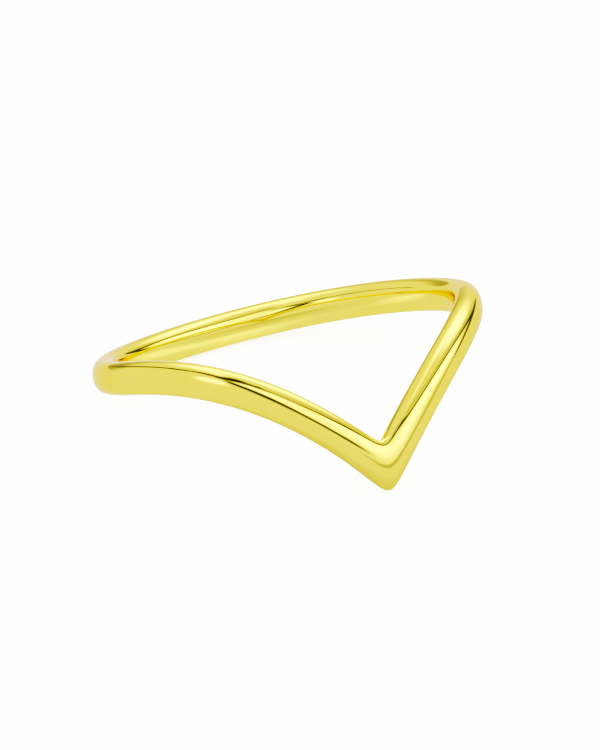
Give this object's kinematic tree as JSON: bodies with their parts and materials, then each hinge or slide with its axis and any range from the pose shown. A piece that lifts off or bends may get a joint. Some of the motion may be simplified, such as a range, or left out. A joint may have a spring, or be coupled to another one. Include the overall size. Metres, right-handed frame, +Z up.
{
  "type": "chevron ring",
  "caption": "Plain polished band for a finger, level at the back and dipping to a V at the front.",
  "frame": {"origin": "middle of the bottom of the whole ring's box, on the surface that the ring lies on", "axes": "+Z up from the surface, the V points towards -Y, and the ring is the same on both sides of X = 0 but for a twist of 0.12 mm"},
  "size_m": [0.02, 0.0212, 0.0066],
  "materials": {
    "polished_gold": "polished yellow gold"
  },
  "bodies": {
    "root": {"band": "polished_gold"}
  },
  "joints": []
}
